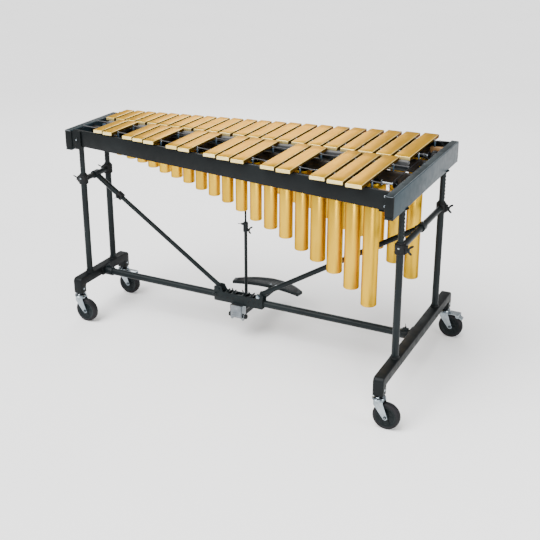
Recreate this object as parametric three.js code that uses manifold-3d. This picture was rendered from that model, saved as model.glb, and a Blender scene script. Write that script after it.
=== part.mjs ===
// A three-octave vibraphone on a wheeled stand, in millimetres, +Z up, floor at z = 0.
// The low notes are at +X, the audience side with the sharps is at -Y, the player is at +Y.
// Until the last lines, x = 0 is midway between the two ends of the stand.
import * as THREE from 'three';
import { mergeVertices } from 'three/addons/utils/BufferGeometryUtils.js';
import Module from 'manifold-3d';

const wasm = await Module();
wasm.setup();

// ---- driving dimensions -------------------------------------------------------------
const TOUCH = 0.3;                      // gap kept between two pieces that rest on each other

const RAIL = { outerX: 710, innerX: 680, top: 812, bottom: 732, lowHalf: 360, highHalf: 160 };
const STAND_X = 695;                    // middle of each end of the stand
const POST_Y = { low: 228, high: 83 };
const CASTER_Y = { low: 375, high: 155 };

const BAR = { top: 828, thickness: 12.7, widthShare: 0.815, nodeShare: 0.224, endGap: 4 };
const DIVISION_Y = 20;                  // line where sharps and naturals meet
const FIRST_SHARP_X = 568;
const PITCH = { low: 69, high: 48, steps: 19 };
const NATURALS = 22;
const LOWEST_MIDI = 53;                 // F3
const NATURAL_STEPS = [0, 2, 4, 6, 7, 9, 11];   // F G A B C D E in semitones

const TUBE_TOP = 785;
const TUBE_WALL = 1.5;
const TUBE_SIDES = 8;
const SHAFT_Z = 789;
const PULLEY_X = 648;
const BELT = { inner: 15, outer: 17, width: 6 };

const BEAM = { top: 188, bottom: 153, halfWidth: 19, socketBottom: 122, socketHalf: 17 };
const POST = { outer: 12.7, inner: 11, top: 612 };
const LIFT_TUBE = { outer: 10.4, inner: 8.4, bottom: 330 };
const CROSS_Z = 590;                    // height of the two upper cross tubes
const CLAMP_REACH = 33;                 // how far a post clamp stands out along X
const CROSSBAR = { outer: 14, inner: 12.4, z: 165 };

const WHEEL = { radius: 48, trail: 29, bore: 4.4 };
const PEDAL = { pivotY: -18, pivotZ: 100, x: -30 };
const ROD = { x: -18, y: 30, joint: 480 };

// ---- solids -------------------------------------------------------------------------
function toSolid(geometry) {
  const bare = geometry.index ? geometry.toNonIndexed() : geometry.clone();
  bare.deleteAttribute('normal');
  bare.deleteAttribute('uv');
  const merged = mergeVertices(bare, 1e-4);
  return new wasm.Manifold(new wasm.Mesh({
    numProp: 3,
    vertProperties: new Float32Array(merged.attributes.position.array),
    triVerts: new Uint32Array(merged.index.array),
  }));
}

function toGeometry(solid) {
  const mesh = solid.getMesh();
  const geometry = new THREE.BufferGeometry();
  geometry.setAttribute('position', new THREE.BufferAttribute(mesh.vertProperties, 3));
  geometry.setIndex(new THREE.BufferAttribute(mesh.triVerts, 1));
  geometry.computeVertexNormals();
  return geometry;
}

const join = (solids) => solids.reduce((whole, next) => whole.add(next));
const cut = (solid, tools) => tools.reduce((rest, tool) => rest.subtract(tool), solid);

function box(x, y, z) {
  const geometry = new THREE.BoxGeometry(x[1] - x[0], y[1] - y[0], z[1] - z[0]);
  geometry.translate((x[0] + x[1]) / 2, (y[0] + y[1]) / 2, (z[0] + z[1]) / 2);
  return toSolid(geometry);
}

// A round bar between two points.
function bar(radius, from, to, sides = 12) {
  const start = new THREE.Vector3(...from);
  const run = new THREE.Vector3(...to).sub(start);
  const geometry = new THREE.CylinderGeometry(radius, radius, run.length(), sides);
  const [up, direction] = [new THREE.Vector3(0, 1, 0), run.clone().normalize()];
  const turn = new THREE.Quaternion().setFromUnitVectors(up, direction);
  geometry.applyQuaternion(turn);
  geometry.translate(...start.addScaledVector(run, 0.5));
  return toSolid(geometry);
}

// A tube between two points, open at both ends.
function tube(outer, inner, from, to, sides = 12) {
  const run = new THREE.Vector3(...to).sub(new THREE.Vector3(...from)).normalize();
  const before = new THREE.Vector3(...from).sub(run);
  const after = new THREE.Vector3(...to).add(run);
  return cut(bar(outer, from, to, sides), [bar(inner, before, after, sides)]);
}

// An outline pushed along one axis. Along x it is drawn in (y, z), along y in (x, z),
// and along z in (x, y).
function prism(axis, outline, from, to) {
  const shape = outline instanceof THREE.Shape ? outline
    : new THREE.Shape(outline.map(([a, b]) => new THREE.Vector2(a, b)));
  const settings = { depth: to - from, bevelEnabled: false, curveSegments: 6 };
  const geometry = new THREE.ExtrudeGeometry(shape, settings);
  const [X, Y, Z] = [[1, 0, 0], [0, 1, 0], [0, 0, 1]].map((v) => new THREE.Vector3(...v));
  const turn = new THREE.Matrix4();
  if (axis === 'x') turn.makeBasis(Y, Z, X).setPosition(from, 0, 0);
  if (axis === 'y') turn.makeBasis(X, Z, Y.clone().negate()).setPosition(0, to, 0);
  if (axis === 'z') turn.makeBasis(X, Y, Z).setPosition(0, 0, from);
  geometry.applyMatrix4(turn);
  return toSolid(geometry);
}

// ---- the keyboard's layout ----------------------------------------------------------
const along = (slope, middle) => (x) => middle + slope * x;
const frontEdge = along(-0.165, -250);  // outer ends of the sharps
const backEdge = along(0.16, 268);      // outer ends of the naturals
const frontBank = along(-0.0825, -117); // middle of each resonator bank
const backBank = along(0.08, 146);

// Boundary k lies between natural k-1 and natural k, counted from the low end.
function boundary(k) {
  const closing = (PITCH.low - PITCH.high) / PITCH.steps;
  return FIRST_SHARP_X - (k - 1) * PITCH.low + closing * (k - 1) * (k - 2) / 2;
}

const naturalMidi = (i) => LOWEST_MIDI + 12 * Math.floor(i / 7) + NATURAL_STEPS[i % 7];
const naturalX = (i) => (boundary(i) + boundary(i + 1)) / 2;
const hasSharp = (k) => naturalMidi(k) - naturalMidi(k - 1) === 2;
const sharpMidi = (k) => (naturalMidi(k) + naturalMidi(k - 1)) / 2;

const natural = (i) => ({
  x: naturalX(i),
  width: BAR.widthShare * (boundary(i) - boundary(i + 1)),
  near: DIVISION_Y + BAR.endGap,
  far: backEdge(naturalX(i)),
});
const sharp = (k) => ({
  x: boundary(k),
  width: BAR.widthShare * (naturalX(k - 1) - naturalX(k)),
  near: DIVISION_Y - BAR.endGap,
  far: frontEdge(boundary(k)),
});

// The two lines on which a row of bars is strung, each at a still point of its bars.
const innerLine = (edge, side) => (x) => {
  const near = DIVISION_Y + side * BAR.endGap;
  return near + BAR.nodeShare * (edge(x) - near);
};
const outerLine = (edge, side) => (x) => {
  const near = DIVISION_Y + side * BAR.endGap;
  return edge(x) - BAR.nodeShare * (edge(x) - near);
};

// Bars strung side by side on their two cords.
function strungBars(bars, lines) {
  const z = [BAR.top - BAR.thickness, BAR.top];
  const plates = bars.map(({ x, width, near, far }) => (
    box([x - width / 2, x + width / 2], [Math.min(near, far), Math.max(near, far)], z)));
  const middle = BAR.top - BAR.thickness / 2;
  const ends = [bars[0].x, bars.at(-1).x];
  const cords = lines.map((line) => (
    bar(2.5, [ends[0], line(ends[0]), middle], [ends[1], line(ends[1]), middle], 4)));
  return join([...plates, ...cords]);
}

// ---- resonators ---------------------------------------------------------------------
const tubeRadius = (place) => (place < 4.5 ? 28 : place < 7.5 ? 25 : 22);
const SOUND_SPEED = 344000;

// A closed tube is a quarter of its note's wavelength, less its end correction.
function tubeLength(midi, radius) {
  const frequency = 440 * 2 ** ((midi - 69) / 12);
  return SOUND_SPEED / (4 * frequency) - radius / 2;
}

const sharpTubes = Array.from({ length: NATURALS - 1 }, (_, n) => n + 1).map((k) => ({
  x: boundary(k), radius: tubeRadius(k), midi: sharpMidi(k), sounding: hasSharp(k),
}));
const naturalTubes = Array.from({ length: NATURALS }, (_, i) => ({
  x: naturalX(i), radius: tubeRadius(i + 0.8), midi: naturalMidi(i), sounding: true,
}));

// Both side strips of a bank, stepping in where the tubes get thinner.
function bankRing(tubes, centre, endGap) {
  const outline = (offset, reach) => {
    const stations = [];
    tubes.forEach((piece, n) => {
      if (n > 0 && tubes[n - 1].radius === piece.radius) return;
      const start = n === 0 ? piece.x + piece.radius + reach : (tubes[n - 1].x + piece.x) / 2;
      if (n > 0) stations.push([start + 3, tubes[n - 1].radius]);
      stations.push([n === 0 ? start : start - 3, piece.radius]);
    });
    const last = tubes.at(-1);
    stations.push([last.x - last.radius - reach, last.radius]);
    const side = (sign) => stations.map(([x, radius]) => [x, centre(x) + sign * (radius + offset)]);
    return [...side(1), ...side(-1).reverse()];
  };
  const solid = prism('z', outline(3, endGap + 4), 752, 780);
  return cut(solid, [prism('z', outline(-1.2, endGap), 751, 781)]);
}

function resonatorBank(tubes, centre) {
  const endGap = 1;
  const ring = bankRing(tubes, centre, endGap);
  const upright = ({ x, radius, midi }, inset, top) => bar(radius - inset,
    [x, centre(x), TUBE_TOP - tubeLength(midi, radius) + inset], [x, centre(x), top], TUBE_SIDES);
  const pipes = tubes.map((piece) => upright(piece, 0, TUBE_TOP));
  const bores = tubes.map((piece) => upright(piece, TUBE_WALL, TUBE_TOP + 1));
  const [first, last] = [tubes[0], tubes.at(-1)];
  const ends = [first.x + first.radius + endGap, last.x - last.radius - endGap - 4];
  const bearings = ends.map((x) => box([x, x + 4], [centre(x) - 8, centre(x) + 8], [778, 797]));
  const shaftHole = bar(3.6, [700, centre(700), SHAFT_Z], [-700, centre(-700), SHAFT_Z], 6);
  return cut(join([ring, ...pipes, ...bearings]), [...bores, shaftHole]);
}

// A shaft along the tops of one bank, with a disc over each sounding tube and a pulley.
function fanShaft(tubes, centre, overhang) {
  const last = tubes.at(-1);
  const at = (x, dy = 0) => [x, centre(x) + dy, SHAFT_Z];
  const discs = tubes.filter(({ sounding }) => sounding).map(({ x, radius }) => (
    bar(Math.min(radius - 5, 22), at(x, -0.8), at(x, 0.8), 6)));
  return join([
    bar(2.8, at(PULLEY_X + overhang), at(last.x - last.radius - 12), 4),
    bar(14, at(PULLEY_X - 4), at(PULLEY_X + 4), 14),
    ...discs,
  ]);
}

function driveBelt() {
  const [y0, y1] = [frontBank(PULLEY_X), backBank(PULLEY_X)];
  const loop = (radius, path) => {
    path.absarc(y1, SHAFT_Z, radius, -Math.PI / 2, Math.PI / 2, false);
    path.absarc(y0, SHAFT_Z, radius, Math.PI / 2, 3 * Math.PI / 2, false);
    path.closePath();
    return path;
  };
  const half = BELT.width / 2;
  const outside = prism('x', loop(BELT.outer, new THREE.Shape()), PULLEY_X - half, PULLEY_X + half);
  const inside = prism('x', loop(BELT.inner, new THREE.Shape()), PULLEY_X - half - 1, PULLEY_X + half + 1);
  return cut(outside, [inside]);
}

function fanMotor() {
  const y = backBank(PULLEY_X + 20);
  return join([
    bar(21, [656, y, SHAFT_Z], [677, y, SHAFT_Z], 16),
    box([674, RAIL.innerX - TOUCH], [y - 26, y + 26], [760, 806]),
  ]);
}

// ---- top frame ----------------------------------------------------------------------
// A rectangular tube, open at both ends, with its long edges chamfered.
function endRail(side, half) {
  const middle = side * (RAIL.innerX + RAIL.outerX) / 2;
  const section = (inset) => {
    const [x, z, c] = [(RAIL.outerX - RAIL.innerX) / 2 - inset, (RAIL.top - RAIL.bottom) / 2 - inset, 3];
    const corners = [[x - c, -z], [x, c - z], [x, z - c], [x - c, z], [c - x, z], [-x, z - c], [-x, c - z],
      [c - x, -z]];
    return corners.map(([dx, dz]) => [middle + dx, (RAIL.top + RAIL.bottom) / 2 + dz]);
  };
  return cut(prism('y', section(0), -half, half), [prism('y', section(4), -half - 1, half + 1)]);
}

// A block that fills the step between the front apron and the front of the high end rail.
const cornerBlock = () => box([-RAIL.innerX - 2, -640], [-157, -151], [738, RAIL.top - 1]);

// A board between the end rails; its two long faces follow the lines a and b.
function slantedBoard(a, b, bottom, top) {
  const end = RAIL.innerX - TOUCH;
  return prism('z', [[-end, a(-end)], [end, a(end)], [end, b(end)], [-end, b(-end)]], bottom, top);
}

const shifted = (line, by) => (x) => line(x) + by;

function apron(line, thickness) {
  return slantedBoard(line, shifted(line, thickness), RAIL.bottom + 17, RAIL.top);
}

function barRail(line, crossedByBelt) {
  const board = slantedBoard(shifted(line, -10), shifted(line, 10), 752, 798);
  if (!crossedByBelt) return board;
  const y = line(PULLEY_X);
  return cut(board, [box([PULLEY_X - 7, PULLEY_X + 7], [y - 20, y + 20], [768, 778])]);
}

// The damper lies under the inner ends of all the bars, and a long rod pulls it down.
const DAMPER = { half: 628, bottom: 783, top: 799 };
const damperBar = () => (
  box([-DAMPER.half, DAMPER.half], [DIVISION_Y - 14, DIVISION_Y + 14], [DAMPER.bottom, DAMPER.top]));
const damperFelt = () => (
  box([-DAMPER.half, DAMPER.half], [DIVISION_Y - 18, DIVISION_Y + 18], [DAMPER.top + TOUCH, 815]));
const upperRod = () => bar(4, [ROD.x, ROD.y, 260], [ROD.x, ROD.y, DAMPER.bottom - TOUCH], 10);

function liftTube() {
  const top = RAIL.bottom - TOUCH;
  return join([
    tube(LIFT_TUBE.outer, LIFT_TUBE.inner, [0, 0, LIFT_TUBE.bottom], [0, 0, top - 3]),
    bar(16, [0, 0, top - 4], [0, 0, top], 12),
  ]);
}

// ---- stand --------------------------------------------------------------------------
// A rectangular beam whose two ends turn down and hold the caster stems.
function footBeam(half) {
  const outer = half + BEAM.socketHalf;
  const inner = half - BEAM.socketHalf;
  const bend = 16;
  const shape = new THREE.Shape();
  shape.moveTo(-inner, BEAM.bottom);
  shape.lineTo(inner, BEAM.bottom);
  shape.lineTo(inner, BEAM.socketBottom);
  shape.lineTo(outer, BEAM.socketBottom);
  shape.absarc(outer - bend, BEAM.top - bend, bend, 0, Math.PI / 2, false);
  shape.absarc(bend - outer, BEAM.top - bend, bend, Math.PI / 2, Math.PI, false);
  shape.lineTo(-outer, BEAM.socketBottom);
  shape.lineTo(-inner, BEAM.socketBottom);
  const beam = prism('x', shape, -BEAM.halfWidth, BEAM.halfWidth);
  return cut(beam, [-half, half].map((y) => bar(6.5, [0, y, 100], [0, y, 152], 12)));
}

const post = () => tube(POST.outer, POST.inner, [0, 0, BEAM.top + TOUCH], [0, 0, POST.top]);

// A ring clamped round a post, with an ear and a wing bolt on the outside.
function postClamp(side) {
  const reach = (a, b) => (side > 0 ? [a, b] : [-b, -a]);
  return join([
    tube(19, POST.outer + 0.4, [0, 0, CROSS_Z - 18], [0, 0, CROSS_Z + 18]),
    box(reach(17, 27), [-7, 7], [CROSS_Z - 12, CROSS_Z + 12]),
    box(reach(25, CLAMP_REACH), [-2, 2], [CROSS_Z - 14, CROSS_Z + 14]),
  ]);
}

function crossTube(postY) {
  const end = postY - 19 - TOUCH;
  return tube(11, 9.4, [0, -end, CROSS_Z], [0, end, CROSS_Z]);
}

function crossbar() {
  const end = STAND_X - BEAM.halfWidth - TOUCH;
  return tube(CROSSBAR.outer, CROSSBAR.inner, [-end, 0, CROSSBAR.z], [end, 0, CROSSBAR.z]);
}

// A diagonal from a ring round an upper cross tube; `from` and `to` are distances along it.
const braceFoot = { low: [71, 0, 206], high: [-122, 0, 203] };
function onBrace(side) {
  const top = new THREE.Vector3(side * STAND_X, 0, CROSS_Z);
  const foot = new THREE.Vector3(...(side > 0 ? braceFoot.low : braceFoot.high));
  const run = foot.clone().sub(top);
  const length = run.length();
  run.normalize();
  return { length, at: (distance) => top.clone().addScaledVector(run, distance).toArray() };
}

function braceRing(side) {
  const x = side * STAND_X;
  return tube(16, 11.5, [x, -16, CROSS_Z], [x, 16, CROSS_Z]);
}

function lowBrace() {
  const { length, at } = onBrace(1);
  return join([braceRing(1), tube(10, 8.4, at(13.5), at(length))]);
}

function highBraceSleeve() {
  const { at } = onBrace(-1);
  const [x, , z] = at(140);
  return join([
    braceRing(-1),
    tube(11.5, 9.4, at(13.5), at(152)),
    tube(16, 9.4, at(128), at(152)),
    box([x - 5, x + 5], [-27, -14], [z - 5, z + 5]),
    box([x - 14, x + 14], [-30, -26], [z - 5, z + 5]),
  ]);
}

function highBraceRod() {
  const { length, at } = onBrace(-1);
  return tube(8.8, 7.2, at(90), at(length));
}

// A low channel round the crossbar. Its raised ends take the braces, and a front plate and
// two lugs under it hold the pedal's pin.
const LUGS = [[-56, -52], [-8, -4]];
const CHANNEL = { from: -138, to: 78, bottom: 145, low: 186, high: 208 };
function centreClamp() {
  const { from, to, bottom, low, high } = CHANNEL;
  const side = [[from, bottom], [to, bottom], [to, high], [to - 26, high], [to - 34, low],
    [from + 40, low], [from + 32, high], [from, high]];
  const cheeks = [[-18, -14.6], [14.6, 18]].map((y) => prism('y', side, ...y));
  const floor = box([from, to], [-18, 18], [bottom, bottom + 4]);
  const lugs = LUGS.map((x) => prism('x', [[-36, bottom], [-36, 96], [-26, 84], [-10, 84], [0, 96],
    [0, bottom]], ...x));
  const plate = box([LUGS[0][0], LUGS[1][1]], [-36, -33], [98, bottom]);
  const heads = [-118, 58].map((x) => bar(7, [x, -23, 196], [x, -18, 196], 6));
  const pinHole = bar(5.4, [-80, PEDAL.pivotY, PEDAL.pivotZ], [20, PEDAL.pivotY, PEDAL.pivotZ]);
  return cut(join([...cheeks, floor, ...lugs, plate, ...heads]), [pinHole]);
}

// ---- pedal and its rod --------------------------------------------------------------
function pedal() {
  const pin = (x0, x1, radius, sides = 12) => (
    bar(radius, [x0, PEDAL.pivotY, PEDAL.pivotZ], [x1, PEDAL.pivotY, PEDAL.pivotZ], sides));
  const arm = prism('x', [[-18, 90], [306, 86], [306, 92.5], [-18, 111]], PEDAL.x - 18, PEDAL.x + 18);
  const board = new THREE.Shape();
  board.moveTo(-208, 263);
  board.quadraticCurveTo(-54, 315, 100, 263);
  board.lineTo(106, 296);
  board.quadraticCurveTo(-54, 430, -214, 296);
  return join([
    pin(LUGS[0][1] + 0.5, LUGS[1][0] - 0.5, 12),
    pin(LUGS[0][0] - 12, LUGS[1][1] + 12, 5),
    pin(LUGS[0][0] - 14, LUGS[0][0] - 3, 10),
    pin(LUGS[1][1] + 3, LUGS[1][1] + 14, 10),
    arm,
    prism('z', board, 89, 104),
  ]);
}

// The lower rod is a tube with a two-screw coupler, in which the damper's rod slides.
function lowerRod() {
  const sleeve = join([
    bar(6.5, [ROD.x, ROD.y, 113], [ROD.x, ROD.y, ROD.joint]),
    bar(10, [ROD.x, ROD.y, ROD.joint - 40], [ROD.x, ROD.y, ROD.joint]),
    box([ROD.x - 26, ROD.x - 8], [ROD.y - 3, ROD.y + 3], [ROD.joint - 16, ROD.joint - 4]),
    box([ROD.x + 8, ROD.x + 26], [ROD.y - 3, ROD.y + 3], [ROD.joint - 36, ROD.joint - 24]),
  ]);
  return cut(sleeve, [bar(4.8, [ROD.x, ROD.y, 124], [ROD.x, ROD.y, ROD.joint + 1])]);
}

// ---- casters, drawn round their swivel axis -----------------------------------------
// A fork is one slim leg on each side of the wheel. On a braked caster the top plate reaches
// back, with two ears for the brake lever.
function casterFork(braked) {
  const leg = [[-14, 102], [20, 102], [38, 50], [37, 42], [29, 38], [21, 42], [-14, 88]];
  const ear = [[46, 102], [64, 102], [64, 90], [52, 90]];
  const cheeks = [[15, 18], [-18, -15]];
  const axle = (radius, y0, y1, sides) => bar(radius, [WHEEL.trail, y0, WHEEL.radius],
    [WHEEL.trail, y1, WHEEL.radius], sides);
  return join([
    bar(6, [0, 0, 108], [0, 0, 148], 8),
    bar(24, [0, 0, 103], [0, 0, 116]),
    box([-14, braked ? 64 : 20], [-18, 18], [101, 105]),
    ...cheeks.map((y) => prism('y', leg, ...y)),
    ...(braked ? cheeks.map((y) => prism('y', ear, ...y)) : []),
    axle(4, -22, 22, 8),
    axle(7, 17, 22, 6),
    axle(7, -22, -17, 6),
  ]);
}

function casterWheel() {
  const half = [[WHEEL.bore, 13.8], [34, 12], [45, 12], [WHEEL.radius, 7]];
  const mirror = half.map(([r, y]) => [r, -y]).reverse();
  const profile = [...mirror.slice().reverse(), ...half.slice().reverse()];
  return toSolid(new THREE.LatheGeometry([...profile, profile[0]].map((p) => new THREE.Vector2(...p)), 16));
}

function casterBrake() {
  const pivot = [57, 95];
  return join([
    bar(4.5, [pivot[0], -13.5, pivot[1]], [pivot[0], 13.5, pivot[1]], 10),
    prism('y', [[56, 92], [75.5, 83], [76.5, 87], [58, 98.5]], -12, 12),
  ]);
}

// ---- the scene graph ----------------------------------------------------------------
function paint(color, roughness, metalness) {
  return new THREE.MeshStandardMaterial({ color, roughness, metalness });
}
const gold = paint(0xd9b056, 0.32, 0.9);
const tubeGold = paint(0xd4ab55, 0.3, 0.9);
const greyPaint = paint(0x3c474c, 0.55, 0.2);
const blackPaint = paint(0x1d2124, 0.5, 0.2);
const wood = paint(0x9a744a, 0.6, 0);
const chrome = paint(0xc8ccd0, 0.2, 1);
const rubber = paint(0x16171a, 0.8, 0);
const aluminium = paint(0xa9adb0, 0.4, 0.9);
const felt = paint(0x8c8a84, 0.95, 0);
const plastic = paint(0x131417, 0.5, 0);

const group = new THREE.Group();
function place(name, solid, material, position = [0, 0, 0], parent = group) {
  const mesh = new THREE.Mesh(toGeometry(solid), material);
  mesh.name = name;
  mesh.position.set(...position);
  parent.add(mesh);
}

// Bars: every run of sharps, and the naturals octave by octave.
const sharpLines = [innerLine(frontEdge, -1), outerLine(frontEdge, -1)];
const naturalLines = [innerLine(backEdge, 1), outerLine(backEdge, 1)];
const sharpRuns = [];
for (let k = 1; k < NATURALS; k += 1) {
  if (!hasSharp(k)) continue;
  if (k === 1 || !hasSharp(k - 1)) sharpRuns.push([]);
  sharpRuns.at(-1).push(sharp(k));
}
sharpRuns.forEach((run, n) => place(`sharp_bars_${n + 1}`, strungBars(run, sharpLines), gold));
const naturalRuns = { low: [0, 7], middle: [7, 14], high: [14, NATURALS] };
for (const [name, [first, end]] of Object.entries(naturalRuns)) {
  const run = Array.from({ length: end - first }, (_, n) => natural(first + n));
  place(`natural_bars_${name}`, strungBars(run, naturalLines), gold);
}

place('low_end_rail', endRail(1, RAIL.lowHalf), greyPaint);
place('high_end_rail', join([endRail(-1, RAIL.highHalf), cornerBlock()]), greyPaint);
place('front_apron', apron(along(-0.1324, -235), 4), blackPaint);
place('rear_apron', apron(along(0.1368, 245), 4), blackPaint);
place('sharp_rail_outer', barRail(sharpLines[1], false), wood);
place('sharp_rail_inner', barRail(sharpLines[0], true), wood);
place('natural_rail_inner', barRail(naturalLines[0], true), wood);
place('natural_rail_outer', barRail(naturalLines[1], false), wood);

place('front_resonators', resonatorBank(sharpTubes, frontBank), tubeGold);
place('rear_resonators', resonatorBank(naturalTubes, backBank), tubeGold);
place('front_fan_shaft', fanShaft(sharpTubes, frontBank, 5), aluminium);
place('rear_fan_shaft', fanShaft(naturalTubes, backBank, 7), aluminium);
place('drive_belt', driveBelt(), rubber);
place('fan_motor', fanMotor(), plastic);
place('damper_bar', damperBar(), aluminium);
place('damper_felt', damperFelt(), felt);
place('upper_pedal_rod', upperRod(), chrome);

// The same pieces at each end of the stand, and at its four corners.
for (const [end, side] of [['low', 1], ['high', -1]]) {
  const x = side * STAND_X;
  place(`${end}_foot_beam`, footBeam(CASTER_Y[end]), blackPaint, [x, 0, 0]);
  place(`${end}_cross_tube`, crossTube(POST_Y[end]), blackPaint, [x, 0, 0]);
  for (const [row, facing] of [['front', -1], ['rear', 1]]) {
    const corner = `${end}_${row}`;
    const postAt = [x, facing * POST_Y[end], 0];
    place(`${corner}_post`, post(), blackPaint, postAt);
    place(`${corner}_clamp`, postClamp(side), plastic, postAt);
    place(`${corner}_lift_tube`, liftTube(), greyPaint, postAt);
    const caster = new THREE.Group();
    caster.position.set(x, facing * CASTER_Y[end], 0);
    group.add(caster);
    place(`${corner}_caster_fork`, casterFork(row === 'rear'), chrome, [0, 0, 0], caster);
    place(`${corner}_caster_wheel`, casterWheel(), rubber, [WHEEL.trail, 0, WHEEL.radius], caster);
    if (row === 'rear') place(`${corner}_caster_brake`, casterBrake(), chrome, [0, 0, 0], caster);
  }
}
place('crossbar', crossbar(), blackPaint);
place('low_brace', lowBrace(), blackPaint);
place('high_brace_sleeve', highBraceSleeve(), blackPaint);
place('high_brace_rod', highBraceRod(), greyPaint);
place('centre_clamp', centreClamp(), blackPaint);
place('pedal', pedal(), blackPaint);
place('lower_pedal_rod', lowerRod(), greyPaint);

// The origin is under the middle of the whole object's box: the trailing wheels reach
// further out at the low end than the post clamps do at the high end.
group.position.x = -(WHEEL.trail + WHEEL.radius - CLAMP_REACH) / 2;

export default group;
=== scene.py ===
"""The looks of a three-octave vibraphone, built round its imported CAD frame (metres, +Z up)."""
import math

import bmesh
import bpy
from mathutils import Matrix, Vector


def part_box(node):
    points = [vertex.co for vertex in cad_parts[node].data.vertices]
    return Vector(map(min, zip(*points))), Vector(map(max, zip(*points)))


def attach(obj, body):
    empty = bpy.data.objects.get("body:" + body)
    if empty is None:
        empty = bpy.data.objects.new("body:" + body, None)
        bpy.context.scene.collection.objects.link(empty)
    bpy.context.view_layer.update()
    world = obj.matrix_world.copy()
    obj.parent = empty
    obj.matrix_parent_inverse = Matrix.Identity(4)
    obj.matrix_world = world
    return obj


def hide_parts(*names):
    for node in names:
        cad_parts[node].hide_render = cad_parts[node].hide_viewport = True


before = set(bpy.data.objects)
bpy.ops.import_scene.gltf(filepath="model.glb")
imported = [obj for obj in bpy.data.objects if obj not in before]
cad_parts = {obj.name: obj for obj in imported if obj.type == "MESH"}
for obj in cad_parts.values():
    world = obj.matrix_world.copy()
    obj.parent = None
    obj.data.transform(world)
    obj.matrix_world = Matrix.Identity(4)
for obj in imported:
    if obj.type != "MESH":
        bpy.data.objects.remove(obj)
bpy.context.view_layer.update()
MM = 0.001
# The plan below is in millimetres, with x = 0 midway between the two end rails.
MIDDLE_X = (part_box("low_end_rail")[1].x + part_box("high_end_rail")[0].x) / 2


def placed(name, data):
    """A new object in the scene."""
    thing = bpy.data.objects.new(name, data)
    bpy.context.scene.collection.objects.link(thing)
    return thing


# ---- the camera ---------------------------------------------------------------------
AZIMUTH, PITCH = 26.46, 20.02      # degrees; azimuth 0 looks along +Y
camera_data = bpy.data.cameras.new("camera")
camera = placed("camera", camera_data)
camera.location = (1.587, -3.027, 1.766)
camera.rotation_euler = (math.radians(90 - PITCH), 0, math.radians(AZIMUTH))
camera_data.lens = 63.6
camera_data.sensor_width = 36
camera_data.shift_y = -0.1
bpy.context.scene.camera = camera


# ---- materials ----------------------------------------------------------------------
class Shader:
    """A Principled material whose node tree is built step by step."""

    def __init__(self, name, metallic=0.0, **sockets):
        self.material = bpy.data.materials.new(name)
        self.material.use_nodes = True
        self.tree = self.material.node_tree
        self.bsdf = self.tree.nodes["Principled BSDF"]
        self.fill(self.bsdf, Metallic=metallic, **sockets)
        self.place = self.node("ShaderNodeTexCoord").outputs["Object"]

    def fill(self, node, **sockets):
        """Sets input sockets, their names written with underscores."""
        for socket, value in sockets.items():
            node.inputs[socket.replace("_", " ")].default_value = value
        return node

    def node(self, kind, **sockets):
        return self.fill(self.tree.nodes.new(kind), **sockets)

    def link(self, output, socket):
        self.tree.links.new(output, socket)

    def stretched(self, scale):
        mapping = self.node("ShaderNodeMapping", Scale=scale)
        self.link(self.place, mapping.inputs["Vector"])
        return mapping.outputs["Vector"]

    def noise(self, scale, stretch=(1, 1, 1), detail=3.0, distortion=0.0):
        node = self.node("ShaderNodeTexNoise", Scale=scale, Detail=detail, Distortion=distortion)
        self.link(self.stretched(stretch), node.inputs["Vector"])
        return node.outputs["Fac"]

    def speckle(self, scale):
        node = self.node("ShaderNodeTexVoronoi", Scale=scale)
        self.link(self.place, node.inputs["Vector"])
        return node.outputs["Distance"]

    def colours(self, pattern, dark, light, low=0.35, high=0.65):
        ramp = self.node("ShaderNodeValToRGB")
        ends = ramp.color_ramp.elements
        ends[0].position, ends[1].position = low, high
        ends[0].color, ends[1].color = (*dark, 1), (*light, 1)
        self.link(pattern, ramp.inputs["Fac"])
        self.link(ramp.outputs["Color"], self.bsdf.inputs["Base Color"])
        return self

    def roughness(self, pattern, low, high):
        spread = self.node("ShaderNodeMapRange", From_Min=0.3, From_Max=0.7, To_Min=low, To_Max=high)
        self.link(pattern, spread.inputs["Value"])
        self.link(spread.outputs["Result"], self.bsdf.inputs["Roughness"])
        return self

    def bump(self, pattern, strength, distance):
        bump = self.node("ShaderNodeBump", Strength=strength, Distance=distance)
        self.link(pattern, bump.inputs["Height"])
        self.link(bump.outputs["Normal"], self.bsdf.inputs["Normal"])
        return self


def bar_gold():
    """Satin anodised aluminium, brushed along the bar."""
    s = Shader("bar_gold", 0.72, Specular_IOR_Level=0.25, Specular_Tint=(0.90, 0.56, 0.10, 1))
    s.colours(s.noise(9, (6, 1, 1), 4), (0.47, 0.262, 0.008), (0.61, 0.350, 0.018))
    s.roughness(s.noise(40, (30, 1, 30), 2), 0.30, 0.42)
    return s.bump(s.noise(60, (40, 0.6, 40), 2), 0.12, 0.0002).material


def bar_edge_highlight():
    """Painted highlight: a paler, brighter gold for the rounded top edges and the end faces of the bars.
    """
    s = Shader("bar_edge_highlight", 0.6, Specular_IOR_Level=0.4, Specular_Tint=(1.0, 0.85, 0.5, 1))
    s.colours(s.noise(14, (1, 6, 6), 3), (0.80, 0.60, 0.20), (0.95, 0.78, 0.36))
    s.roughness(s.noise(40), 0.22, 0.34)
    return s.bump(s.noise(90), 0.06, 0.0001).material


def bar_flank_shade():
    """Painted shade: a dark gold for the sides and the underside of the bars, brushed less than the face.
    """
    s = Shader("bar_flank_shade", 0.8, Specular_IOR_Level=0.2, Specular_Tint=(0.5, 0.3, 0.08, 1))
    s.colours(s.noise(9, (6, 1, 1), 4), (0.085, 0.048, 0.006), (0.16, 0.092, 0.014))
    s.roughness(s.noise(40), 0.42, 0.55)
    return s.bump(s.noise(90), 0.08, 0.0001).material


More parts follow.
